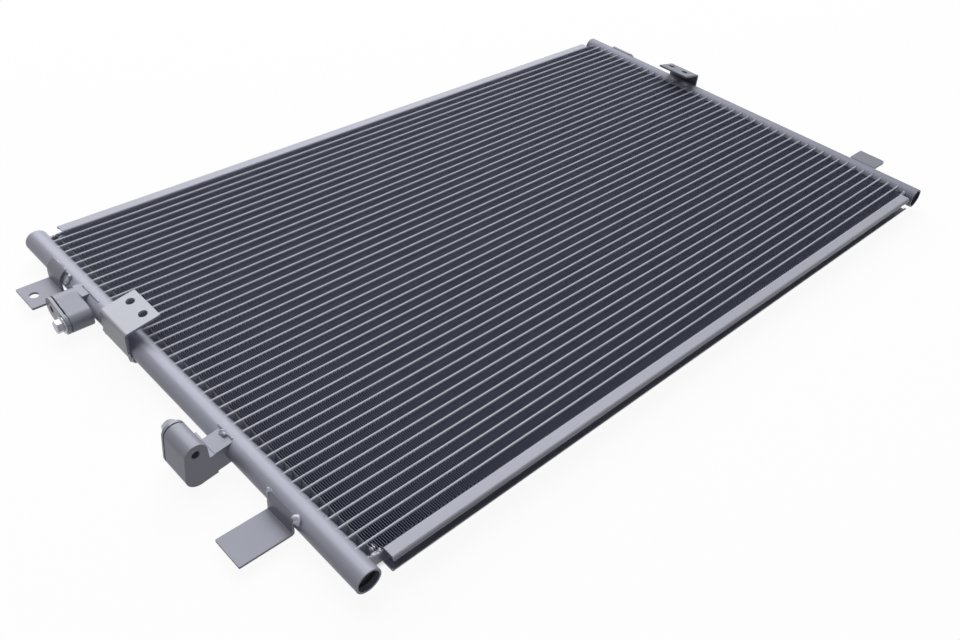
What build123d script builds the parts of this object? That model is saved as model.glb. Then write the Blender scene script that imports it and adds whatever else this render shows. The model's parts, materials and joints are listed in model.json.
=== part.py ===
from build123d import *
import math
import os

# Vehicle air conditioning condenser, parallel-flow type, lying flat. Millimetres.
# While it is modelled, x runs along the flat tubes, y along the two header tubes
# and z through the core, all from the middle of the core. It is put on the ground
# at the end, with the origin under the middle of its whole outline.

# Core: flat tubes side by side, with a row of folded fins in each space
tube_count = 43
tube_pitch = 10.0
tube_thickness = 2.0
tube_depth = 16.0
tube_end_gap = 2.5           # from a tube's end to the header's axis
fin_end_gap = 2.8            # from the fins to the header

# Headers: round tubes that the flat tubes open into
header_spacing = 738.6       # axis to axis
header_radius = 10.0
header_wall = 1.6
braze_gap = 0.1              # left all round each brazed seat
cup_recess = 4.0             # from the header's end to the cup's rim
cup_depth = 5.0
cup_wall = 1.2
cup_clearance = 0.5          # from the cup's floor to the side plate's tongue
baffle_tube = 26             # the baffle lies after this many tubes
baffle_thickness = 1.5

# Side plates: outward channels with a tongue at each end
plate_gauge = 1.5
plate_end_gap = 9.3          # from the channel to the header
plate_width = 12.0           # from the outer fin row to the lips
plate_depth = 15.0
lip_height = 3.2
bend_radius = 2.4            # outside of the sheet
tongue_shoulder = 2.0        # from the channel's depth to the tongue's, on each edge
tongue_entry = 3.0           # into the header, past its nearest line

# Sheet brackets, bent round the headers. Reaches are from the header's axis, and
# insets from the header's nearer end to the middle of the bracket or block.
bracket_gauge = 2.0
flag_width = 39.5            # the two-hole brackets, that stand up and lean over the core
flag_height = 20.0           # of the bend above the core's middle
flag_tilt = 10.5             # degrees, rising towards the core
flag_bend = 1.0
flag_wrap = 55.0             # degrees, under the header
flag_hole_radius = 3.75
flag_hole_spacing = 19.5
left_flag_inset = 162.5
left_flag_reach = 18.8       # inwards, to the plate's edge
left_hole_reach = 9.8        # inwards, to the holes
left_hole_shift = 0.6        # of the pair of holes from the plate's middle
right_flag_inset = 141.5
right_flag_reach = 16.5
right_hole_reach = 1.8
right_hole_shift = 2.0

tab_bend = 0.5               # inside of the sheet, where a tab turns away from the core
eye_wrap = 65.0              # degrees, over the header
eye_inset = 61.25
eye_reach = 40.5             # outwards, to the tab's edge
eye_width = 31.5
eye_drop = 9.0               # of the tab's lower face below the core's middle
eye_leg_width = 23.0
eye_hole_radius = 4.0
eye_hole_inset = 8.5         # from the tab's edge
eye_corner = 1.0
left_tab_wrap = 44.0
left_tab_inset = 78.5
left_tab_reach = 52.2
left_tab_width = 28.0
left_tab_drop = 9.0
left_tab_corner = 0.6
right_tab_wrap = 50.0        # under the header
right_tab_inset = 70.5
right_tab_reach = 33.7
right_tab_width = 30.0
right_tab_rise = 7.0         # of the tab's upper face above the core's middle
right_tab_corner = 4.0
strap_over = 58.0            # degrees, over the header
strap_under = 40.0
strap_inset = 47.25
strap_width = 29.5

# Connector blocks: two lobes each, one with the port and one with the bolt hole
port_lobe_radius = 10.2
bolt_lobe_radius = 8.9
lobe_spacing = 19.5
port_radius = 5.5
bolt_radius = 3.0
thread_clearance = 0.05
passage_radius = 3.5         # from the port into the header
passage_drop = 2.45          # of the lower block's passage below the core's middle

# Upper block: its port faces away from the core, along the tubes
inlet_inset = 96.0
inlet_face = 28.2            # from the header's axis to the block's outer face
inlet_back = 10.2            # from the header's axis to the block's inner face
inlet_lean = 8.7             # degrees, from the port down to the bolt
inlet_neck_width = 22.2
inlet_neck_height = 19.2
inlet_neck_corner = 7.0      # of the two edges on the far side

# Lower block: its port faces along the header, towards the upper block
outlet_inset = 157.6
outlet_length = 26.2
outlet_reach = 32.0          # from the header's axis to the lobes' centres
outlet_port_drop = 5.0       # of the port below the core's middle
outlet_slope = 9.0           # degrees, of the arm down from the header
outlet_stub_end = 17.5       # from the header's axis to the stub's shoulder
outlet_stub_height = 19.3
outlet_stub_drop = 0.45
outlet_neck_height = 18.0
outlet_neck_rise = 0.7
outlet_neck_length = 17.2
outlet_passage_inset = 8.5   # from the near face to the passage's middle

# Transport covers: a plate with a window, a black plug and a flanged bolt on each port
seal_flange = 1.3
seal_edge = 0.6              # from the plug's flange to the edge of the port's lobe
seal_spigot = 5.0
seal_clearance = 0.1
cover_gauge = 2.3
cover_hole_clearance = 0.3
cover_window_radius = 3.0
bolt_flange_radius = 7.5
bolt_flange = 1.2
bolt_head_flats = 10.0
bolt_head_height = 5.5
bolt_head_edge = 0.25        # from a flat to the chamfer, on the head's end
bolt_head_chamfer = 30.0     # degrees
bolt_reach = 12.0            # into the block
bolt_hole_chamfer = 0.7

# Worked out from the sizes above
header_x = header_spacing / 2
header_bore = header_radius - header_wall
fin_height = tube_pitch - tube_thickness
core_edge = tube_pitch * (tube_count - 1) / 2 + tube_thickness / 2 + fin_height
header_end = core_edge + plate_gauge + cup_clearance + cup_depth + cup_recess
header_side = header_x - header_radius
seat_radius = header_radius + braze_gap
bracket_back = seat_radius + bracket_gauge
cover_stack = seal_flange + cover_gauge
outlet_near = outlet_inset - outlet_length / 2 - header_end


def tube_row(index):
    """Height across the core of one flat tube's middle."""
    return tube_pitch * ((tube_count - 1) / 2 - index)


def along_y(radius, length, x, y, z):
    """A rod along the header's direction, from its middle."""
    return Pos(x, y, z) * Rot(90, 0, 0) * Cylinder(radius, length)


def along_x(radius, length, x, y, z):
    """A rod along the flat tubes' direction, from its middle."""
    return Pos(x, y, z) * Rot(0, 90, 0) * Cylinder(radius, length)


def flat_tube(index):
    """One extruded tube, with round edges, reaching into both headers."""
    section = Plane.YZ * (Rot(0, 0, 90) * SlotOverall(tube_depth, tube_thickness))
    tube = extrude(section, header_x - tube_end_gap, both=True)
    return Pos(0, tube_row(index), 0) * tube


def fin_rows():
    """The folded fins, one block of fins in each space and outside the outer tubes."""
    first = tube_row(0) + tube_pitch / 2
    rows = []
    for index in range(tube_count + 1):
        block = Box(2 * (header_side - fin_end_gap), fin_height, tube_depth)
        rows.append(Pos(0, first - index * tube_pitch, 0) * block)
    return rows


def header(side, port_cut):
    """A header tube, slotted for the flat tubes and the side plates' tongues."""
    body = along_y(header_radius, 2 * header_end, 0, 0, 0)
    body -= along_y(header_bore, 2 * header_end, 0, 0, 0)
    slot_middle = -side * header_radius
    slot_reach = 2 * (header_radius - tube_end_gap)
    slots = []
    for index in range(tube_count):
        slot = Box(slot_reach, tube_thickness + 2 * braze_gap, tube_depth + 2 * braze_gap)
        slots.append(Pos(slot_middle, tube_row(index), 0) * slot)
    tongue_height = plate_depth - 2 * tongue_shoulder
    tongue_slot = Box(2 * header_wall + tongue_entry, plate_gauge + 2 * braze_gap,
                      tongue_height + 2 * braze_gap)
    for edge in (-1, 1):
        web = edge * (core_edge + plate_gauge / 2)
        slots.append(Pos(slot_middle, web, 0) * tongue_slot)
    body -= slots
    if port_cut is not None:
        body -= port_cut
    return Pos(side * header_x, 0, 0) * body


def left_port_holes():
    """The two holes in the left header's outer wall, behind the connector blocks."""
    inlet_y = header_end - inlet_inset
    inlet = along_x(passage_radius, 2 * header_wall, -header_radius, inlet_y, 0)
    outlet_y = outlet_near + outlet_passage_inset
    outlet = along_x(passage_radius, 2 * header_wall, -header_radius, outlet_y, -passage_drop)
    return [inlet, outlet]


def end_cup(side, end):
    """A pressed cup that closes one end of a header, its face outwards."""
    radius = header_bore - braze_gap
    hollow = Cylinder(radius - cup_wall, cup_depth)
    cup = Cylinder(radius, cup_depth) - Pos(0, 0, cup_wall) * hollow
    middle = header_end - cup_recess - cup_depth / 2
    return Pos(side * header_x, end * middle, 0) * Rot(90 * end, 0, 0) * cup


def header_closures():
    """The four end cups, and the baffle that parts the left header's two chambers."""
    pieces = [end_cup(side, end) for side in (-1, 1) for end in (-1, 1)]
    baffle_y = tube_row(baffle_tube - 0.5)
    radius = header_bore - braze_gap
    baffle = along_y(radius, baffle_thickness, -header_x, baffle_y, 0)
    return [*pieces, baffle]


def side_plate(edge):
    """A rolled channel that closes the core, with lips and a tongue at each end."""
    half = plate_depth / 2
    outline = FilletPolyline((plate_width, half - lip_height), (plate_width, half), (0, half),
                             (0, -half), (plate_width, -half), (plate_width, lip_height - half),
                             radius=bend_radius)
    section = Face(outline.offset_2d(plate_gauge, side=Side.LEFT))
    channel = extrude(Plane.YZ * section, header_side - plate_end_gap, both=True)
    tongue = Box(2 * (header_side + tongue_entry), plate_gauge, plate_depth - 2 * tongue_shoulder)
    channel += Pos(0, plate_gauge / 2, 0) * tongue
    channel = Pos(0, core_edge, 0) * channel
    return channel if edge > 0 else mirror(channel, Plane.XZ)


def sheet(path, width, side):
    """Sheet bent along a path round the header's axis, with x away from the core and z up."""
    section = Plane.XZ * Face(path.offset_2d(bracket_gauge, side=side))
    return extrude(section, width / 2, both=True)


def tab_bracket(wrap, drop, reach, width):
    """A strap over the header, whose leg turns outwards into a mounting tab."""
    over = CenterArc((0, 0), seat_radius, wrap, -wrap)
    leg = FilletPolyline((seat_radius, 0), (seat_radius, -drop), (reach, -drop),
                         radius=tab_bend + bracket_gauge)
    return sheet(Wire([*over.edges(), *leg.edges()]), width, Side.LEFT)


def corner_edges(bracket):
    """The two upright edges at a tab's outer corners, the near one first."""
    return bracket.edges().filter_by(Axis.Z).sort_by(Axis.X)[-2:].sort_by(Axis.Y)


def on_header(piece, side, end, inset):
    """Puts a piece drawn round the axis on either header, inset from either end of it."""
    piece = Pos(header_x, end * (header_end - inset), 0) * piece
    return piece if side > 0 else mirror(piece, Plane.YZ)


def hole_tab_bracket():
    """The upper left bracket, with a leg narrower than its tab and a round hole."""
    bracket = tab_bracket(eye_wrap, eye_drop, eye_reach, eye_width)
    notch_width = eye_width - eye_leg_width
    notch_top = header_radius + 2 * bracket_gauge
    notch_floor = bracket_gauge - eye_drop
    notch = Box(2 * (bracket_back + bracket_gauge + tab_bend), notch_width,
                notch_top - notch_floor)
    bracket -= Pos(0, -eye_leg_width / 2, (notch_top + notch_floor) / 2) * notch
    hole = Cylinder(eye_hole_radius, 4 * bracket_gauge)
    bracket -= Pos(eye_reach - eye_hole_inset, 0, -eye_drop) * hole
    return on_header(fillet(corner_edges(bracket), eye_corner), -1, 1, eye_inset)


def left_tab_bracket():
    """The lower left bracket, with a long plain tab."""
    bracket = tab_bracket(left_tab_wrap, left_tab_drop, left_tab_reach, left_tab_width)
    bracket = fillet(corner_edges(bracket), left_tab_corner)
    return on_header(bracket, -1, -1, left_tab_inset)


def right_tab_bracket():
    """The lower right bracket, turned over: a short tab from a strap under the header."""
    bracket = tab_bracket(right_tab_wrap, right_tab_rise, right_tab_reach, right_tab_width)
    bracket = fillet(corner_edges(bracket)[0], right_tab_corner)
    return on_header(mirror(bracket, Plane.XY), 1, -1, right_tab_inset)


def strap_bracket():
    """The upper right bracket, a plain saddle on the header's outer flank."""
    saddle = CenterArc((0, 0), seat_radius, strap_over, -strap_over - strap_under)
    saddle = sheet(Wire(saddle.edges()), strap_width, Side.LEFT)
    return on_header(saddle, 1, 1, strap_inset)


def flag_bracket(side, inset, reach, hole_reach, hole_shift):
    """A strap under the header that stands up and leans over the core, with two holes."""
    slope = math.tan(math.radians(flag_tilt))
    bend = flag_height - bracket_gauge
    under = CenterArc((0, 0), seat_radius, -flag_wrap, flag_wrap)
    leg = FilletPolyline((seat_radius, 0), (seat_radius, bend),
                         (-reach, bend + (seat_radius + reach) * slope), radius=flag_bend)
    bracket = sheet(Wire([*under.edges(), *leg.edges()]), flag_width, Side.RIGHT)
    hole_z = bend + (seat_radius + hole_reach) * slope
    for step in (-0.5, 0.5):
        hole = Rot(0, flag_tilt, 0) * Cylinder(flag_hole_radius, 6 * bracket_gauge)
        bracket -= Pos(-hole_reach, hole_shift + step * flag_hole_spacing, hole_z) * hole
    return on_header(bracket, side, 1, inset)


def two_lobes(port, bolt):
    """The outline that a connector block and its cover share."""
    port_lobe = Pos(*port) * Circle(port_lobe_radius)
    bolt_lobe = Pos(*bolt) * Circle(bolt_lobe_radius)
    return make_hull([*port_lobe.edges(), *bolt_lobe.edges()])


def sloped_bar(start, end, height, rise):
    """Section of the lower block's arm, sloping down from the header."""
    slope = math.tan(math.radians(outlet_slope))
    half = height / 2
    return Polygon((start, rise - start * slope + half), (start, rise - start * slope - half),
                   (end, rise - end * slope - half), (end, rise - end * slope + half), align=None)


def cover_section():
    """Outline of the two lobes with the port at the middle and the bolt to its right."""
    return two_lobes((0, 0), (lobe_spacing, 0))


def inlet_place():
    """Turns what is drawn over a port, with the bolt along its x, to the upper block's face."""
    face = Plane(origin=(-header_x - inlet_face, header_end - inlet_inset, 0),
                 x_dir=(0, -1, 0), z_dir=(-1, 0, 0))
    return Location(face) * Rot(0, 0, -inlet_lean)


def outlet_place():
    """The same, for the lower block's face."""
    face = Plane(origin=(-header_x - outlet_reach, outlet_near + outlet_length, -outlet_port_drop),
                 x_dir=(0, 0, 1), z_dir=(0, 1, 0))
    return Location(face)


def block_holes(port_depth, bolt_depth):
    """Port and bolt bores, running back from a block's face."""
    port = Pos(0, 0, -port_depth / 2) * Cylinder(port_radius, port_depth)
    bore = bolt_radius + thread_clearance
    bolt = Pos(lobe_spacing, 0, -bolt_depth / 2) * Cylinder(bore, bolt_depth)
    return [port, bolt]


def upper_connector():
    """The block on the upper part of the left header, with its neck."""
    thickness = inlet_face - inlet_back
    block = extrude(cover_section(), -thickness)
    block -= block_holes(thickness, thickness)
    block = inlet_place() * block
    inlet_y = header_end - inlet_inset
    neck = Box(inlet_back, inlet_neck_width, inlet_neck_height)
    far_edges = neck.edges().filter_by(Axis.X).sort_by(Axis.Y)[-2:]
    neck = fillet(far_edges, inlet_neck_corner)
    neck = Pos(-header_x - inlet_back / 2, inlet_y, 0) * neck
    block += neck
    block -= along_y(seat_radius, 2 * inlet_neck_width, -header_x, inlet_y, 0)
    block -= along_x(passage_radius, 2 * inlet_back, -header_x - inlet_back, inlet_y, 0)
    return block


def lower_connector():
    """The block on the lower part of the left header, with a stepped, sloping arm."""
    section = two_lobes((outlet_reach, -outlet_port_drop),
                        (outlet_reach, lobe_spacing - outlet_port_drop))
    section += sloped_bar(outlet_stub_end, outlet_reach, outlet_stub_height, -outlet_stub_drop)
    neck = sloped_bar(0, outlet_stub_end + 1, outlet_neck_height, outlet_neck_rise)
    block = Pos(0, outlet_near, 0) * extrude(Plane.XZ * section, -outlet_length)
    block += Pos(0, outlet_near, 0) * extrude(Plane.XZ * neck, -outlet_neck_length)
    block = mirror(Pos(header_x, 0, 0) * block, Plane.YZ)
    holes = block_holes(outlet_length - outlet_passage_inset, outlet_length)
    mouth = Cone(bolt_radius, bolt_radius + 2 * bolt_hole_chamfer, 2 * bolt_hole_chamfer)
    holes.append(Pos(lobe_spacing, 0, -outlet_length) * Rot(180, 0, 0) * mouth)
    block -= [outlet_place() * hole for hole in holes]
    block -= along_y(seat_radius, 4 * outlet_length, -header_x, outlet_near, 0)
    passage_y = outlet_near + outlet_passage_inset
    passage = along_x(passage_radius, outlet_reach, -header_x - outlet_reach / 2,
                      passage_y, -passage_drop)
    return block - passage


def cover_plate():
    """A plate with a window over the plug, and a foot that stands on the block."""
    plate = Pos(0, 0, seal_flange) * extrude(cover_section(), cover_gauge)
    foot = Pos(lobe_spacing, 0, 0) * extrude(Circle(bolt_flange_radius), seal_flange)
    window = Cylinder(cover_window_radius, 4 * cover_stack)
    hole = Pos(lobe_spacing, 0, 0) * Cylinder(bolt_radius + cover_hole_clearance, 4 * cover_stack)
    return plate + foot - window - hole


def plug_seal():
    """A black plug with a flange, held in the port by the cover."""
    flange = Pos(0, 0, seal_flange / 2) * Cylinder(port_lobe_radius - seal_edge, seal_flange)
    spigot = Cylinder(port_radius - seal_clearance, seal_spigot)
    return flange + Pos(0, 0, -seal_spigot / 2) * spigot


def bolt_head():
    """A hexagon standing on its base, with its end's corners chamfered."""
    hexagon = extrude(RegularPolygon(bolt_head_flats / 2, 6, major_radius=False), bolt_head_height)
    end_radius = bolt_head_flats / 2 - bolt_head_edge
    spread = bolt_head_height / math.tan(math.radians(bolt_head_chamfer))
    limit = Cone(end_radius + spread, end_radius, bolt_head_height)
    return hexagon & Pos(0, 0, bolt_head_height / 2) * limit


def cover_bolt():
    """A hexagon bolt with a flange under its head."""
    flange = Pos(lobe_spacing, 0, cover_stack + bolt_flange / 2)
    bolt = flange * Cylinder(bolt_flange_radius, bolt_flange)
    bolt += Pos(lobe_spacing, 0, cover_stack + bolt_flange) * bolt_head()
    shank = Cylinder(bolt_radius, cover_stack + bolt_reach)
    bolt += Pos(lobe_spacing, 0, (cover_stack - bolt_reach) / 2) * shank
    return bolt


def on_both_ports(piece):
    """One copy of a piece at each of the two ports."""
    return [inlet_place() * piece, outlet_place() * piece]


def all_parts():
    """Every sub-part by name."""
    parts = {
        "header_left": header(-1, left_port_holes()),
        "header_right": header(1, None),
        "header_closures": header_closures(),
        "side_plate_far": side_plate(1),
        "side_plate_near": side_plate(-1),
        "fin_rows": fin_rows(),
        "bracket_two_hole_left": flag_bracket(-1, left_flag_inset, left_flag_reach,
                                              left_hole_reach, left_hole_shift),
        "bracket_two_hole_right": flag_bracket(1, right_flag_inset, right_flag_reach,
                                               right_hole_reach, right_hole_shift),
        "bracket_hole_tab_left": hole_tab_bracket(),
        "bracket_plain_tab_left": left_tab_bracket(),
        "bracket_plain_tab_right": right_tab_bracket(),
        "bracket_strap_right": strap_bracket(),
        "connector_upper": upper_connector(),
        "connector_lower": lower_connector(),
        "cover_plates": on_both_ports(cover_plate()),
        "plug_seals": on_both_ports(plug_seal()),
        "cover_bolts": on_both_ports(cover_bolt()),
    }
    for index in range(tube_count):
        parts[f"flat_tube_{index + 1:02d}"] = flat_tube(index)
    return parts


def ground_shift(parts):
    """The move that puts the origin under the middle of the whole outline."""
    boxes = [piece.bounding_box() for part in parts.values() for piece in part]
    low = [min(box.min.X for box in boxes), min(box.min.Y for box in boxes)]
    high = [max(box.max.X for box in boxes), max(box.max.Y for box in boxes)]
    bottom = min(box.min.Z for box in boxes)
    return Pos(-(low[0] + high[0]) / 2, -(low[1] + high[1]) / 2, -bottom)


def save(parts):
    """Puts everything on the ground and writes one file per sub-part."""
    os.makedirs("parts", exist_ok=True)
    shift = ground_shift(parts)
    for name, pieces in parts.items():
        moved = [shift * piece for piece in pieces]
        shape = moved[0] if len(moved) == 1 else Compound(moved)
        export_step(shape, f"parts/{name}.step")
    print("moved by", shift.position)


save({name: part if isinstance(part, list) else [part] for name, part in all_parts().items()})
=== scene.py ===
"""Finishes and fine pieces of a vehicle air conditioning condenser, lying flat on a pale floor."""

import json
import math

import bmesh
import bpy
from bpy.props import FloatProperty, FloatVectorProperty, IntProperty, PointerProperty
from mathutils import Matrix, Vector, noise


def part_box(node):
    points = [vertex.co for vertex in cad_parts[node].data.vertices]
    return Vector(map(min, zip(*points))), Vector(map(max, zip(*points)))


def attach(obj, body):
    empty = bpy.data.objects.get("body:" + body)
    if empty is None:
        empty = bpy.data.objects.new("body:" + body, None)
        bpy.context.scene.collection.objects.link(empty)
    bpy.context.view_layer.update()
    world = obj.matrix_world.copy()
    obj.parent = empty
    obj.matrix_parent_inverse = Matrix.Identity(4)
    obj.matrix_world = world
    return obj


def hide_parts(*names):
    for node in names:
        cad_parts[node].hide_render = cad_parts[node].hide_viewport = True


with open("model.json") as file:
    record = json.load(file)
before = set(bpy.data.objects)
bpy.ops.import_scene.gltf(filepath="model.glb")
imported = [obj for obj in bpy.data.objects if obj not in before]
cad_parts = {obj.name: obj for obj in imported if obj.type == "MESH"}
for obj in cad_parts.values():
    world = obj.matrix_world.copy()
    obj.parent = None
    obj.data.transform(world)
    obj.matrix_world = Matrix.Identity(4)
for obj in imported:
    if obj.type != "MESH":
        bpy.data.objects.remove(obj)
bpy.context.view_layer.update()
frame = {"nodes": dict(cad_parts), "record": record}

bl_info = {
    "name": "Condenser finishes",
    "version": (1, 0, 0),
    "blender": (4, 5, 0),
    "location": "3D View > Sidebar > Condenser",
    "description": "Folded fins, braze, finishes and a studio for a parallel-flow condenser",
    "category": "Object",
}

MM = 0.001
TUBES = sorted(name for name in frame["nodes"] if name.startswith("flat_tube"))
OUTWARD = {"header_left": -1, "header_right": 1}

# Places where fin legs were knocked out of line: x, y and radius, in metres
FIN_DENTS = ((-0.340, 0.038, 0.008), (-0.339, 0.008, 0.009), (0.285, 0.089, 0.010),
             (0.256, 0.007, 0.011), (0.155, -0.214, 0.009))
DENT_FACTOR = 5         # knocked legs stray this many times farther

# Over what distance along x, y and z the straying of fin legs changes, in metres
EVEN_DRIFT = (0.009, 0.004, 0.05)
DENT_DRIFT = (0.002, 0.003, 1.0)

# Places of two of the fin strips' three materials. The first is the louvred sheet, whose dark
# colour is painted shade of the deep cells.
PLAIN_SHEET, CUT_EDGE = 1, 2
FACING = 0.5            # a face looks along an axis when its normal has this share of it

# Corners of a braze ring's section, in fillet reaches: out from the tube, up from the header
RING_SECTION = ((1.0, -0.1), (0.35, 0.3), (0.02, 1.0), (-0.3, -0.5))
RING_STEPS = 6          # round each end of a flat tube, and along each side
LUMP_UNEVENNESS = 0.7   # of a braze lump's radius
BEAD_UNEVENNESS = 0.35  # of the lumps' size along a bead

# Beads at the straps: bracket, header, the angle of the strap's end, and the angles between
# which beads run at its two edges. All angles are in degrees up from a header's outer flank.
STRAP_BEADS = (("bracket_hole_tab_left", "header_left", 65, (25, 60)),
               ("bracket_strap_right", "header_right", 58, (20, 55)),
               ("bracket_plain_tab_right", "header_right", -50, (-40, 0)))

FLOOR_REACH = 8.0       # metres, from the middle to the floor's edge
FRAME_WIDTH = 36.0      # millimetres, of the camera's frame
SIGHT = (0.01, 50.0)    # metres, the nearest and farthest that the camera sees


def linear(code):
    """Linear colour of an sRGB hex value such as 9a9ca8."""
    parts = [int(code[i:i + 2], 16) / 255 for i in (0, 2, 4)]
    return [p / 12.92 if p <= 0.04045 else ((p + 0.055) / 1.055) ** 2.4 for p in parts]


def length_property(name, description, millimetres):
    """A length in metres, given in millimetres."""
    return FloatProperty(name=name, description=description, default=millimetres * MM,
                         min=0.0, unit="LENGTH", precision=5)


def colour_property(name, description, code):
    """A colour picker with a default given in hex."""
    return FloatVectorProperty(name=name, description=description, default=linear(code),
                               subtype="COLOR", size=3, min=0.0, max=1.0)


class CondenserSizes(bpy.types.PropertyGroup):
    """Sizes of the pieces that are added to the solids."""
    # Real legs stand 1.48 mm apart, too close to show at this size, so they are drawn wider
    fin_spacing: length_property("Fin spacing", "From one fin leg to the next", 1.8)
    fin_sheet: length_property("Fin sheet", "Thickness of the fin strip as drawn", 0.28)
    fin_inset: length_property("Fin inset", "From the tubes' edges down to the fins", 0.5)
    fin_crest: length_property("Fin crest", "Height of the round fold beside a tube", 0.1)
    fin_waver: length_property("Fin waver", "How far fin legs stray from even spacing", 0.22)
    louvre_pitch: length_property("Louvre pitch", "From one louvre slit to the next", 1.1)
    braze_fillet: length_property("Braze fillet", "Reach of the braze round each tube", 0.85)
    bead: length_property("Braze bead", "Radius of the lumps of braze by the brackets", 1.1)
    fin_pieces: IntProperty(name="Fin pieces", default=4, min=1, max=11,
                            description="How many pieces the fin rows are shared between")


class CondenserColours(bpy.types.PropertyGroup):
    """Colours of the finishes. Some hold painted light and shade, as marked."""
    header: colour_property("Header tubes", "Brazed extruded aluminium", "b8bacb")
    tube: colour_property("Flat tubes", "Extruded aluminium, brazed", "c8cbd8")
    plate: colour_property("Side plates", "Rolled aluminium sheet", "b6b8c6")
    # Painted light: the left two-hole bracket is painted lighter than the other brackets for its
    # plate tilted toward the main light, not for fresher sheet.
    bright: colour_property("Left two-hole bracket", "Freshly rolled sheet", "ccced9")
    bracket: colour_property("Brackets", "Pressed aluminium sheet", "9c9eac")
    # Painted shade: the right header, its brackets and its braze are painted darker for the light
    # falling off towards the right, not for a flux film.
    right_header_shade: colour_property("Right header", "Extrusion dulled by flux film", "8a8d9e")
    right_bracket_shade: colour_property("Right brackets", "Sheet dulled by flux film", "868997")
    block: colour_property("Connector blocks", "Machined aluminium", "aeb0be")
    braze: colour_property("Braze", "Silver-grey filler metal", "b8bac6")
    # Painted shade: the end cups' near-black stands for the shade inside the hollow header ends,
    # not a furnace tint.
    cup: colour_property("End cups", "Aluminium darkened in the furnace", "0b0c0f")
    cover: colour_property("Cover plates", "Zinc plated steel", "b4b6c2")
    bolt: colour_property("Bolts", "Bright zinc", "aeb0b8")
    # Painted shade: the fins' near-black stands for the shade deep in the cells between the tubes,
    # not the sheet's own colour.
    fin: colour_property("Fins", "Thin louvred sheet, seen into deep cells", "1c1e29")
    fin_edge: colour_property("Fin edges", "Cut edges of the fin sheet", "737a9c")
    fin_end: colour_property("Plain fin sheet", "Last legs and folds, with no louvres", "9698a2")
    plug: colour_property("Plugs", "Black rubber", "0e0e10")
    floor: colour_property("Floor", "Studio floor, under its white glow", "5c5c5c")


class CondenserStudio(bpy.types.PropertyGroup):
    """Camera and light."""
    lens: FloatProperty(name="Lens", description="Focal length on a 36 mm wide frame",
                        default=35.7, min=10.0, unit="CAMERA")
    place: FloatVectorProperty(name="Camera place", description="Where the camera stands",
                               default=(-0.58398, -0.50359, 0.51946), subtype="TRANSLATION",
                               unit="LENGTH")
    turn: FloatVectorProperty(name="Camera turn", description="Tilt, roll and heading",
                              default=[math.radians(a) for a in (50.519, -4.700, -43.774)],
                              subtype="EULER", unit="ROTATION")
    key_place: FloatVectorProperty(name="Main light place", description="Above, behind and right",
                                   default=(1.2, 2.9, 3.7), subtype="TRANSLATION",
                                   unit="LENGTH")
    side_place: FloatVectorProperty(name="Side light place", description="Right, behind and lower",
                                    default=(3.7, 2.2, 2.6), subtype="TRANSLATION",
                                    unit="LENGTH")
    key_size: FloatProperty(name="Main light size", default=5.6, min=0.1, unit="LENGTH",
                            description="Side of the square soft light. The side light is half")
    key_power: FloatProperty(name="Main light", description="Power of the main light",
                             default=208.0, min=0.0, unit="POWER")
    side_power: FloatProperty(name="Side light", description="Power of the side light",
                              default=10.0, min=0.0, unit="POWER")
    room: FloatProperty(name="Room light", description="Strength of the light from all round",
                        default=0.06, min=0.0)
    glow: FloatProperty(name="Floor glow", default=0.93, min=0.0, max=1.0,
                        description="White that the camera and reflections see in the floor")


def settings():
    """The three groups of settings."""
    scene = bpy.context.scene
    return scene.condenser_sizes, scene.condenser_colours, scene.condenser_studio


# Materials

def node(tree, kind, links=None, **values):
    """Adds a shader node, sets its properties and inputs, and links what feeds it."""
    made = tree.nodes.new(kind)
    for key, value in values.items():
        if hasattr(made, key):
            setattr(made, key, value)
        else:
            made.inputs[key.replace("_", " ")].default_value = value
    for socket, source in (links or {}).items():
        tree.links.new(source, made.inputs[socket])
    return made


def new_material(name):
    """An empty node material, with its output and the object's own coordinates."""
    material = bpy.data.materials.new(name)
    material.use_nodes = True
    tree = material.node_tree
    tree.nodes.clear()
    out = node(tree, "ShaderNodeOutputMaterial").inputs["Surface"]
    return material, tree, out, node(tree, "ShaderNodeTexCoord").outputs["Object"]


def speckle(tree, place, size, detail):
    """Cloudy noise over a place, with features of about a given size."""
    return node(tree, "ShaderNodeTexNoise", {"Vector": place}, Scale=1 / size,
                Detail=detail).outputs["Fac"]


def two_tones(tree, share, colour, dark, light):
    """A colour that goes between two shades of itself, given as factors."""
    tone = node(tree, "ShaderNodeMix", {"Factor": share}, data_type="RGBA")
    for socket, factor in (("A", dark), ("B", light)):
        tone.inputs[socket].default_value = [min(1.0, c * factor) for c in colour] + [1.0]
    return tone.outputs["Result"]


def relief(tree, height, strength, distance, **links):
    """Bumps of a height in metres, over a Normal if one is given."""
    return node(tree, "ShaderNodeBump", {"Height": height, **links}, Strength=strength,
                Distance=distance).outputs["Normal"]


def shade(tree, out, links, **values):
    """Puts a Principled shader on a material's surface."""
    shader = node(tree, "ShaderNodeBsdfPrincipled", links, **values)
    tree.links.new(shader.outputs["BSDF"], out)


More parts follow.
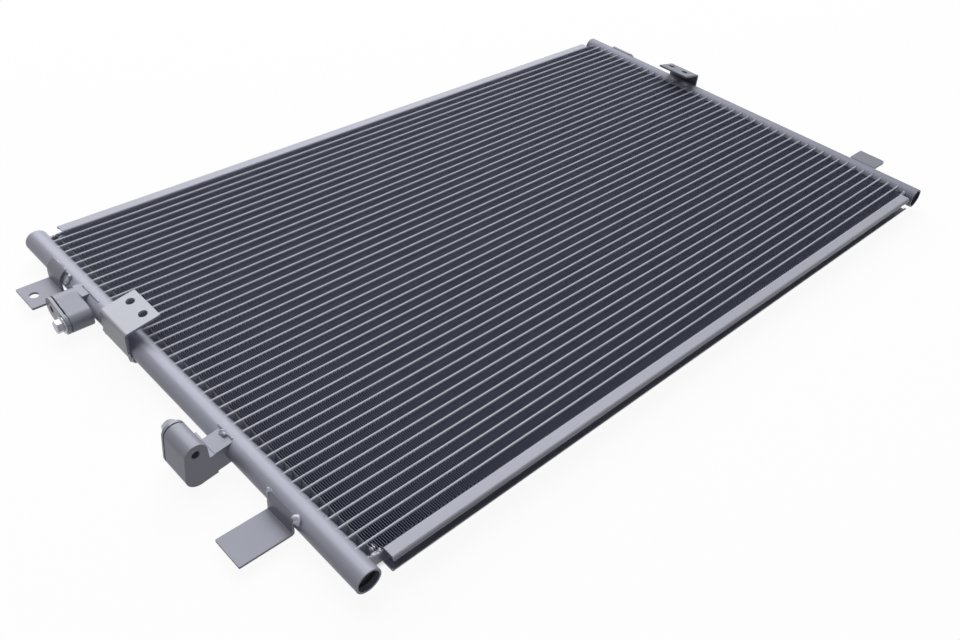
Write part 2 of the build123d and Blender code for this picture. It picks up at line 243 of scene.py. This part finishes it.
def satin_aluminium(name, colour, roughness, grain_axis, metallic=0.14, shine=0.5):
    """Aluminium sheet or extrusion out of a brazing furnace: a soft grey satin with faint
    lines along its forming direction, cloudy flux film and a fine grain. Plated cover sheet
    has the same satin."""
    material, tree, out, place = new_material(name)
    cloud = speckle(tree, place, 14 * MM, 4.0)
    line_width, line_length, gloss_spread = 0.8 * MM, 60 * MM, 0.07
    stretch = [1 / line_width] * 3
    stretch["xyz".index(grain_axis)] = 1 / line_length
    drawn = node(tree, "ShaderNodeMapping", {"Vector": place}, vector_type="POINT",
                 Scale=stretch)
    lines = speckle(tree, drawn.outputs["Vector"], 1.0, 2.0)
    gloss = node(tree, "ShaderNodeMapRange", {"Value": cloud}, To_Min=roughness - gloss_spread,
                 To_Max=roughness + gloss_spread)
    grain = relief(tree, speckle(tree, place, 0.5 * MM, 2.0), 0.12, 0.1 * MM)
    surface = relief(tree, lines, 0.25, 0.05 * MM, Normal=grain)
    shade(tree, out, {"Base Color": two_tones(tree, cloud, colour, 0.95, 1.05),
                      "Roughness": gloss.outputs["Result"], "Normal": surface},
          Metallic=metallic, Specular_IOR_Level=shine)
    return material


def louvred_sheet(name, colour, pitch):
    """Thin fin sheet cut into louvres: fine slits across each leg, painted dark as the shade of a
    deep cell.
    """
    material, tree, out, place = new_material(name)
    # The wave texture repeats 20 / 2 pi times in one unit of its scale
    slits = node(tree, "ShaderNodeTexWave", {"Vector": place}, wave_type="BANDS",
                 bands_direction="Z", Scale=2 * math.pi / (20 * pitch))
    patch = speckle(tree, place, 45 * MM, 3.0)
    shade(tree, out, {"Base Color": two_tones(tree, patch, colour, 0.8, 1.2),
                      "Normal": relief(tree, slits.outputs["Fac"], 0.5, 0.2 * MM)},
          Metallic=0.0, Roughness=0.6)
    return material


def braze_metal(name, colour):
    """Filler metal that ran and set: silvery, lumpy and a little glossier than the sheet."""
    material, tree, out, place = new_material(name)
    lumps = speckle(tree, place, 1.6 * MM, 4.0)
    shade(tree, out, {"Base Color": two_tones(tree, lumps, colour, 0.72, 1.12),
                      "Normal": relief(tree, lumps, 0.5, 0.4 * MM)},
          Metallic=0.45, Roughness=0.34)
    return material


def bright_zinc(name, colour):
    """Zinc plating on a turned steel head: bright, with a fine grain."""
    material, tree, out, place = new_material(name)
    grit = speckle(tree, place, 0.9 * MM, 3.0)
    shade(tree, out, {"Base Color": two_tones(tree, grit, colour, 0.85, 1.1),
                      "Normal": relief(tree, grit, 0.15, 0.1 * MM)},
          Metallic=0.8, Roughness=0.27)
    return material


def black_rubber(name, colour):
    """Moulded rubber: matt black with a faint grain."""
    material, tree, out, place = new_material(name)
    grain = speckle(tree, place, 0.6 * MM, 2.0)
    shade(tree, out, {"Normal": relief(tree, grain, 0.2, 0.1 * MM)},
          Base_Color=[*colour, 1.0], Roughness=0.6)
    return material


def seen_rays(tree):
    """One where the camera, metal or glass looks, and nought for the light on the object."""
    path = node(tree, "ShaderNodeLightPath").outputs
    direct = node(tree, "ShaderNodeMath", {0: path["Is Camera Ray"], 1: path["Is Glossy Ray"]},
                  operation="ADD").outputs["Value"]
    return node(tree, "ShaderNodeMath", {0: direct, 1: path["Is Transmission Ray"]},
                operation="ADD", use_clamp=True).outputs["Value"]


def pale_floor(name, colour, glow, under):
    """Lit studio paper: matt, with a white glow that the camera, metal and glass see. The glow
    fades to nothing under the core, a painted shadow beneath it, and the paper keeps the object's
    shadow."""
    material, tree, out, place = new_material(name)
    low, high = under
    painted_shadow_fade = 10 * MM
    # From here the glow fades out over the core's box: a painted shadow on the floor under the
    # core.
    middle = node(tree, "ShaderNodeVectorMath", {0: place}, operation="SUBTRACT")
    middle.inputs[1].default_value = (low + high) / 2
    away = node(tree, "ShaderNodeVectorMath", {0: middle.outputs["Vector"]}, operation="ABSOLUTE")
    past = node(tree, "ShaderNodeVectorMath", {0: away.outputs["Vector"]}, operation="SUBTRACT")
    past.inputs[1].default_value = (high - low) / 2
    sides = node(tree, "ShaderNodeSeparateXYZ", {0: past.outputs["Vector"]}).outputs
    farther = node(tree, "ShaderNodeMath", {0: sides["X"], 1: sides["Y"]}, operation="MAXIMUM")
    edge = node(tree, "ShaderNodeMapRange", {"Value": farther.outputs["Value"]}, From_Min=-painted_shadow_fade,
                From_Max=0.0, To_Max=glow)
    strength = node(tree, "ShaderNodeMath", {0: seen_rays(tree), 1: edge.outputs["Result"]},
                    operation="MULTIPLY")
    light = node(tree, "ShaderNodeEmission", {"Strength": strength.outputs["Value"]})
    paper = node(tree, "ShaderNodeBsdfDiffuse", Color=[*colour, 1.0])
    both = node(tree, "ShaderNodeAddShader", {0: paper.outputs["BSDF"],
                                              1: light.outputs["Emission"]})
    tree.links.new(both.outputs["Shader"], out)
    return material


# Mesh helpers

def new_piece(name, bm, materials):
    """Makes an object from a bmesh that is already in place, and lets it ride on the body."""
    mesh = bpy.data.meshes.new(name)
    bm.to_mesh(mesh)
    bm.free()
    for material in materials:
        mesh.materials.append(material)
    piece = bpy.data.objects.new(name, mesh)
    bpy.context.scene.collection.objects.link(piece)
    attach(piece, "root")
    return piece


def repeat(bm, step, count):
    """Repeats all that a mesh has along a step, the first one included."""
    if count > 1:
        bmesh.ops.spin(bm, geom=bm.verts[:] + bm.edges[:] + bm.faces[:], cent=(0, 0, 0),
                       axis=(0, 0, 1), dvec=step, angle=0.0, steps=count - 1,
                       use_duplicate=True)


# Fins

def fold_strip(bm, low, high, sizes):
    """One fin strip: a thin sheet folded to and fro between two flat tubes."""
    legs = round((high.x - low.x) / sizes.fin_spacing)
    step = (high.x - low.x - sizes.fin_sheet) / (legs - 1)
    inset = sizes.fin_sheet / 2
    half = (high.y - low.y) / 2 - inset
    shoulder = half - sizes.fin_crest
    start, middle = low.x + inset, (low.y + high.y) / 2 + inset
    # One wave: up a leg, over a fold, down the next leg and under a fold
    wave = [(-inset, -shoulder), (-inset, shoulder), (step / 2, half), (step + inset, shoulder),
            (step + inset, -shoulder), (step * 1.5, -half), (step * 2 - inset, -shoulder)]
    points = [bm.verts.new((start + x, middle + y, low.z + sizes.fin_inset)) for x, y in wave]
    for first, second in zip(points, points[1:]):
        bm.edges.new((first, second))
    repeat(bm, (2 * step, 0, 0), legs // 2)
    bmesh.ops.remove_doubles(bm, verts=bm.verts[:], dist=sizes.fin_sheet / 4)
    raised = bmesh.ops.extrude_edge_only(bm, edges=bm.edges[:])
    lifted = [item for item in raised["geom"] if isinstance(item, bmesh.types.BMVert)]
    bmesh.ops.translate(bm, verts=lifted, vec=(0, 0, high.z - low.z - 2 * sizes.fin_inset))
    # The sheet thickens to one side, so all strips have to face the same way
    bmesh.ops.recalc_face_normals(bm, faces=bm.faces[:])
    first_leg = min(bm.faces, key=lambda face: face.calc_center_median().x)
    if first_leg.normal.x > 0:
        bmesh.ops.reverse_faces(bm, faces=bm.faces[:])
    bmesh.ops.solidify(bm, geom=bm.faces[:], thickness=sizes.fin_sheet)
    # The louvred legs' sides take the painted cell shade, while the faces along z and the folds
    # keep lighter colours of the same sheet.
    for face in bm.faces:
        centre = face.calc_center_median()
        last_leg = min(centre.x - low.x, high.x - centre.x) < step / 2
        on_leg = abs(centre.y - low.y - half - inset) < shoulder
        if last_leg or abs(face.normal.y) > FACING:
            face.material_index = PLAIN_SHEET
        elif abs(face.normal.z) > FACING and on_leg:
            face.material_index = CUT_EDGE


def drift(place, spread):
    """Smooth noise that changes over a given distance along each axis."""
    return noise.noise(Vector([along / over for along, over in zip(place, spread)]))


def waver_fins(bm, reach):
    """Lets fin legs stray a little from even spacing, and more where they were knocked."""
    for vertex in bm.verts:
        vertex.co.x += reach * drift(vertex.co, EVEN_DRIFT)
    for dent_x, dent_y, radius in FIN_DENTS:
        dent = Vector((dent_x, dent_y))
        for vertex in [v for v in bm.verts if abs(v.co.x - dent_x) < radius]:
            near = 1 - (vertex.co.xy - dent).length / radius
            if near > 0:
                vertex.co.x += DENT_FACTOR * near * reach * drift(vertex.co, DENT_DRIFT)


class CONDENSER_OT_fold_fins(bpy.types.Operator):
    """Folds the fin strips between the flat tubes"""
    bl_idname = "condenser.fold_fins"
    bl_label = "Fold fins"

    def execute(self, context):
        sizes, colours, _ = settings()
        low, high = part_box("fin_rows")
        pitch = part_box(TUBES[0])[0].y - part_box(TUBES[1])[0].y
        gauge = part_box(TUBES[0])[1].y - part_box(TUBES[0])[0].y
        rows = len(TUBES) + 1
        sheet = [louvred_sheet("louvred fin sheet with painted cell shade", colours.fin, sizes.louvre_pitch),
                 satin_aluminium("plain fin sheet", colours.fin_end, 0.45, "z"),
                 satin_aluminium("sheared fin edge", colours.fin_edge, 0.5, "x")]
        share = rows // sizes.fin_pieces
        for index in range(sizes.fin_pieces):
            first = index * share
            count = share if index < sizes.fin_pieces - 1 else rows - first
            row_low = Vector((low.x, low.y + first * pitch, low.z))
            row_high = Vector((high.x, row_low.y + pitch - gauge, high.z))
            bm = bmesh.new()
            fold_strip(bm, row_low, row_high, sizes)
            repeat(bm, (0, pitch, 0), count)
            waver_fins(bm, sizes.fin_waver)
            piece = new_piece(f"folded_fins_{index + 1}", bm, sheet)
            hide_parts("fin_rows")
        return {"FINISHED"}


# Braze

def stadium(half_long, half_short, steps):
    """Points round a flat tube's section, as y and z from its middle."""
    straight = half_long - half_short
    points = []
    for end in (1, -1):
        for index in range(steps + 1):
            turn = math.pi * index / steps
            points.append((end * half_short * math.cos(turn),
                           end * (straight + half_short * math.sin(turn))))
        points += [(-end * half_short, end * straight * (1 - 2 * index / steps))
                   for index in range(1, steps)]
    return points


def braze_ring(bm, header, tube, reach):
    """A hollow-faced ring of braze where one flat tube enters a header."""
    low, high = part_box(header)
    tube_low, tube_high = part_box(tube)
    radius = (high.z - low.z) / 2
    axis = (low + high) / 2
    middle_y = (tube_low.y + tube_high.y) / 2
    half_short, half_long = (tube_high.y - tube_low.y) / 2, (tube_high.z - tube_low.z) / 2
    loops = []
    for spread, lift in RING_SECTION:
        ring = []
        for y, z in stadium(half_long + spread * reach, half_short + spread * reach, RING_STEPS):
            stand = math.sqrt(max(radius ** 2 - z ** 2, 0)) + lift * reach
            ring.append(bm.verts.new((axis.x - OUTWARD[header] * stand, middle_y + y, axis.z + z)))
        loops.append([bm.edges.new(pair) for pair in zip(ring, ring[1:] + ring[:1])])
    for first, second in zip(loops, loops[1:] + loops[:1]):
        bmesh.ops.bridge_loops(bm, edges=first + second)


def lump(bm, place, radius):
    """One rounded, uneven lump of braze."""
    made = bmesh.ops.create_icosphere(bm, subdivisions=3, radius=radius,
                                      matrix=Matrix.Translation(place))
    for vertex in made["verts"]:
        out = vertex.co - place
        vertex.co += out * LUMP_UNEVENNESS * noise.noise(vertex.co / radius)


def header_point(header, angle, lift, y):
    """A point by a header: degrees up from its outer flank, and a height over its surface."""
    low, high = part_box(header)
    reach = (high.z - low.z) / 2 + lift
    turn = math.radians(angle)
    middle = (low + high) / 2
    return Vector((middle.x + OUTWARD[header] * reach * math.cos(turn), y,
                   middle.z + reach * math.sin(turn)))


def run_lumps(bm, place_at, length, radius):
    """Lumps along a path, given by a function of the share of its length."""
    count = max(2, round(length / radius) + 1)
    for index in range(count):
        place = place_at(index / (count - 1))
        swell = 1 + BEAD_UNEVENNESS * noise.noise(place / (2 * radius))
        lump(bm, place, radius * swell)


def bead(bm, header, start, end, lift, radius):
    """A bead round or along a header, between two places given as angle and y."""
    def place_at(share):
        angle, y = (first + (last - first) * share for first, last in zip(start, end))
        return header_point(header, angle, lift, y)
    run_lumps(bm, place_at, (place_at(1) - place_at(0)).length, radius)


def straight_bead(bm, start, end, radius):
    """A bead along a straight line."""
    run_lumps(bm, lambda share: start.lerp(end, share), (end - start).length, radius)


class CONDENSER_OT_finish_solids(bpy.types.Operator):
    """Gives every solid its finish"""
    bl_idname = "condenser.finish_solids"
    bl_label = "Finish solids"

    def execute(self, context):
        sizes, colours, _ = settings()
        satin = {
            "header_aluminium": ("brazed header extrusion", colours.header, 0.4, "y"),
            "tube_aluminium": ("flat tube extrusion", colours.tube, 0.4, "x"),
            "plate_aluminium": ("rolled side plate", colours.plate, 0.45, "x"),
            "bracket_aluminium": ("pressed bracket sheet", colours.bracket, 0.42, "y"),
            "block_aluminium": ("machined block", colours.block, 0.45, "y"),
            "cover_steel": ("plated cover", colours.cover, 0.35, "z"),
        }
        finishes = {slot: satin_aluminium(*look) for slot, look in satin.items()}
        finishes["bolt_zinc"] = bright_zinc("bright zinc", colours.bolt)
        finishes["seal_rubber"] = black_rubber("black rubber", colours.plug)
        finishes["fin_aluminium"] = louvred_sheet("fin block with painted cell shade", colours.fin, sizes.louvre_pitch)
        # The end cups get a near-black colour that is painted shade of the hollow ends.
        cup = satin_aluminium("end cup painted with hollow shade", colours.cup, 0.4, "y", metallic=0.0, shine=0.15)
        # The left two-hole bracket takes a colour painted lighter as light.
        lit_left_bracket_sheet = satin_aluminium("left bracket sheet with painted light", colours.bright, 0.42, "y")
        # The right header and its brackets take colours painted darker as shade.
        shaded_right_tube = satin_aluminium("right header extrusion with painted shade", colours.right_header_shade, 0.42, "y")
        shaded_right_sheet = satin_aluminium("right bracket sheet with painted shade", colours.right_bracket_shade, 0.45, "y")
        by_node = {
            "header_closures": cup,
            "header_right": shaded_right_tube,
            "bracket_two_hole_left": lit_left_bracket_sheet,
            "bracket_two_hole_right": shaded_right_sheet,
            "bracket_strap_right": shaded_right_sheet,
            "bracket_plain_tab_right": shaded_right_sheet,
        }
        for part in frame["record"]["subparts"]:
            solid = frame["nodes"][part["node"]]
            solid.data.materials.clear()
            finish = by_node.get(part["node"], finishes[part["material_slot"]])
            solid.data.materials.append(finish)
        return {"FINISHED"}


class CONDENSER_OT_run_braze(bpy.types.Operator):
    """Runs braze round the flat tubes, the brackets and the blocks"""
    bl_idname = "condenser.run_braze"
    bl_label = "Run braze"

    def execute(self, context):
        sizes, colours, _ = settings()
        # The right braze takes the right brackets' colour, painted darker as shade.
        fillers = {"header_left": [braze_metal("set braze filler", colours.braze)],
                   "header_right": [braze_metal("right braze filler with painted shade", colours.right_bracket_shade)]}
        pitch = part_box(TUBES[0])[0].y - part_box(TUBES[1])[0].y
        for header, filler in fillers.items():
            bm = bmesh.new()
            braze_ring(bm, header, TUBES[-1], sizes.braze_fillet)
            repeat(bm, (0, pitch, 0), len(TUBES))
            self.finish(bm, f"braze_rings_{header.removeprefix('header_')}", filler)
        bm = bmesh.new()
        self.strap_beads(bm, sizes.bead)
        self.tab_lumps(bm, sizes.bead)
        self.two_hole_beads(bm, sizes.bead)
        self.block_beads(bm, sizes.bead)
        self.plate_beads(bm, sizes.bead)
        self.finish(bm, "braze_beads", fillers["header_left"])
        return {"FINISHED"}

    def finish(self, bm, name, materials):
        """Shades a mesh smooth and makes it a piece with the given braze filler."""
        bmesh.ops.recalc_face_normals(bm, faces=bm.faces[:])
        for face in bm.faces:
            face.smooth = True
        new_piece(name, bm, materials)

    def strap_beads(self, bm, size):
        """Beads along the ends and edges of the straps."""
        for name, header, end_angle, (first, last) in STRAP_BEADS:
            near, far = (corner.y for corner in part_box(name))
            bead(bm, header, (end_angle, near + size), (end_angle, far - size),
                 lift=0.7 * size, radius=size)
            bead(bm, header, (first, near), (last, near), lift=0.8 * size, radius=1.6 * size)
            bead(bm, header, (first, far), (last, far), lift=0.6 * size, radius=size)

    def tab_lumps(self, bm, size):
        """Thick lumps beside the two left tabs, whose braze gathered there."""
        near_tab, far_tab, below = 33, 36, -32
        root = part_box("bracket_hole_tab_left")[0].y - 2.5 * size
        for lift in (2, 5, 8):
            lump(bm, header_point("header_left", below, lift * size, root), radius=3 * size)
        near, far = (corner.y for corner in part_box("bracket_plain_tab_left"))
        lump(bm, header_point("header_left", far_tab, 0.5 * size, far + 2 * size),
             radius=2 * size)
        lump(bm, header_point("header_left", near_tab, 0.5 * size, near - 1.2 * size),
             radius=2.9 * size)

    def two_hole_beads(self, bm, size):
        """Beads at the edges of the two-hole brackets, from under the header to its flank."""
        below = -50
        for name, header in (("bracket_two_hole_left", "header_left"),
                             ("bracket_two_hole_right", "header_right")):
            near, far = (corner.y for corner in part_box(name))
            bead(bm, header, (below, near), (0, near), lift=1.2 * size, radius=1.5 * size)
            bead(bm, header, (below, far), (-5, far), lift=size, radius=size)

    def block_beads(self, bm, size):
        """A thick short bead on the lower block's neck, and thin ones along both necks."""
        lower_angle, neck_angle = 60, 72
        near, far = (corner.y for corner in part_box("connector_lower"))
        middle = near + 0.4 * (far - near)
        bead(bm, "header_left", (lower_angle, middle - 1.5 * size),
             (lower_angle, middle + 1.5 * size), lift=0, radius=2.4 * size)
        for name in ("connector_upper", "connector_lower"):
            near, far = (corner.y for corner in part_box(name))
            neck = (near + 0.1 * (far - near), far - 0.25 * (far - near))
            bead(bm, "header_left", (neck_angle, neck[0]), (neck_angle, neck[1]),
                 lift=0.2 * size, radius=0.7 * size)

    def plate_beads(self, bm, size):
        """Beads and lumps where the side plates' tongues enter the headers."""
        core_side = 145
        for plate in ("side_plate_far", "side_plate_near"):
            low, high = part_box(plate)
            web_y = high.y - size / 2 if low.y < 0 else low.y + size / 2
            top = high.z - 2 * size
            for header in OUTWARD:
                flank = header_point(header, core_side, 0, web_y)
                flank.z = top
                tongue_end = flank - Vector((OUTWARD[header] * 8 * size, 0, 0))
                straight_bead(bm, flank, tongue_end, radius=1.3 * size)
                core = Vector((flank.x - OUTWARD[header] * 6.5 * size,
                               web_y + math.copysign(5 * size, -web_y), top - size))
                lump(bm, core, radius=2.5 * size)


class CONDENSER_OT_studio(bpy.types.Operator):
    """Sets the floor, the lights and the camera"""
    bl_idname = "condenser.studio"
    bl_label = "Studio"

    def execute(self, context):
        _, colours, studio = settings()
        scene = context.scene
        scene.view_settings.view_transform = "Standard"
        self.lay_floor(colours, studio)
        self.light_room(scene, studio)
        self.hang_light("main light", studio.key_place, studio.key_size, studio.key_power)
        self.hang_light("side light", studio.side_place, studio.key_size / 2, studio.side_power)
        lens = bpy.data.cameras.new("camera")
        lens.lens, lens.sensor_width = studio.lens, FRAME_WIDTH
        lens.clip_start, lens.clip_end = SIGHT
        camera = bpy.data.objects.new("camera", lens)
        camera.location, camera.rotation_euler = studio.place, studio.turn
        scene.collection.objects.link(camera)
        scene.camera = camera
        return {"FINISHED"}

    def lay_floor(self, colours, studio):
        """A wide floor on the ground, where the object lies."""
        bm = bmesh.new()
        bmesh.ops.create_grid(bm, x_segments=1, y_segments=1, size=FLOOR_REACH)
        mesh = bpy.data.meshes.new("floor")
        bm.to_mesh(mesh)
        bm.free()
        # The core's box, under which the floor's glow gives way to a painted shadow.
        mesh.materials.append(pale_floor("studio floor", colours.floor, studio.glow,
                                         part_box("fin_rows")))
        floor = bpy.data.objects.new("floor", mesh)
        bpy.context.scene.collection.objects.link(floor)

    def light_room(self, scene, studio):
        """Plain light from all round, and a white wall behind the floor."""
        world = bpy.data.worlds.new("room")
        world.use_nodes = True
        tree = world.node_tree
        white = 1.0
        strength = node(tree, "ShaderNodeMapRange", {"Value": seen_rays(tree)},
                        To_Min=studio.room, To_Max=white)
        wall = tree.nodes["Background"]
        wall.inputs["Color"].default_value = (1, 1, 1, 1)
        tree.links.new(strength.outputs["Result"], wall.inputs["Strength"])
        scene.world = world

    def hang_light(self, name, place, size, power):
        """A square soft light that faces the middle of the object."""
        lamp = bpy.data.lights.new(name, "AREA")
        lamp.shape, lamp.size, lamp.energy = "SQUARE", size, power
        light = bpy.data.objects.new(name, lamp)
        light.location = place
        light.rotation_euler = (-Vector(place)).to_track_quat("-Z", "Y").to_euler()
        bpy.context.scene.collection.objects.link(light)


class CONDENSER_PT_sidebar(bpy.types.Panel):
    """The condenser's settings and steps"""
    bl_idname = "CONDENSER_PT_sidebar"
    bl_label = "Condenser"
    bl_space_type = "VIEW_3D"
    bl_region_type = "UI"
    bl_category = "Condenser"

    def draw(self, context):
        for group in settings():
            box = self.layout.box()
            for name in group.__annotations__:
                box.prop(group, name)
        for step in STEPS:
            self.layout.operator(step.bl_idname)


GROUPS = {"condenser_sizes": CondenserSizes, "condenser_colours": CondenserColours,
          "condenser_studio": CondenserStudio}
STEPS = (CONDENSER_OT_finish_solids, CONDENSER_OT_fold_fins, CONDENSER_OT_run_braze,
         CONDENSER_OT_studio)


def register():
    """Registers the classes and hangs the settings on the scene."""
    for item in (*GROUPS.values(), *STEPS, CONDENSER_PT_sidebar):
        bpy.utils.register_class(item)
    for name, group in GROUPS.items():
        setattr(bpy.types.Scene, name, PointerProperty(type=group))


def unregister():
    """Takes them off again."""
    for name in GROUPS:
        delattr(bpy.types.Scene, name)
    for item in reversed((*GROUPS.values(), *STEPS, CONDENSER_PT_sidebar)):
        bpy.utils.unregister_class(item)


def main():
    """Runs every step in order."""
    register()
    for step in STEPS:
        group, name = step.bl_idname.split(".")
        getattr(getattr(bpy.ops, group), name)()


if __name__ == "__main__":
    main()
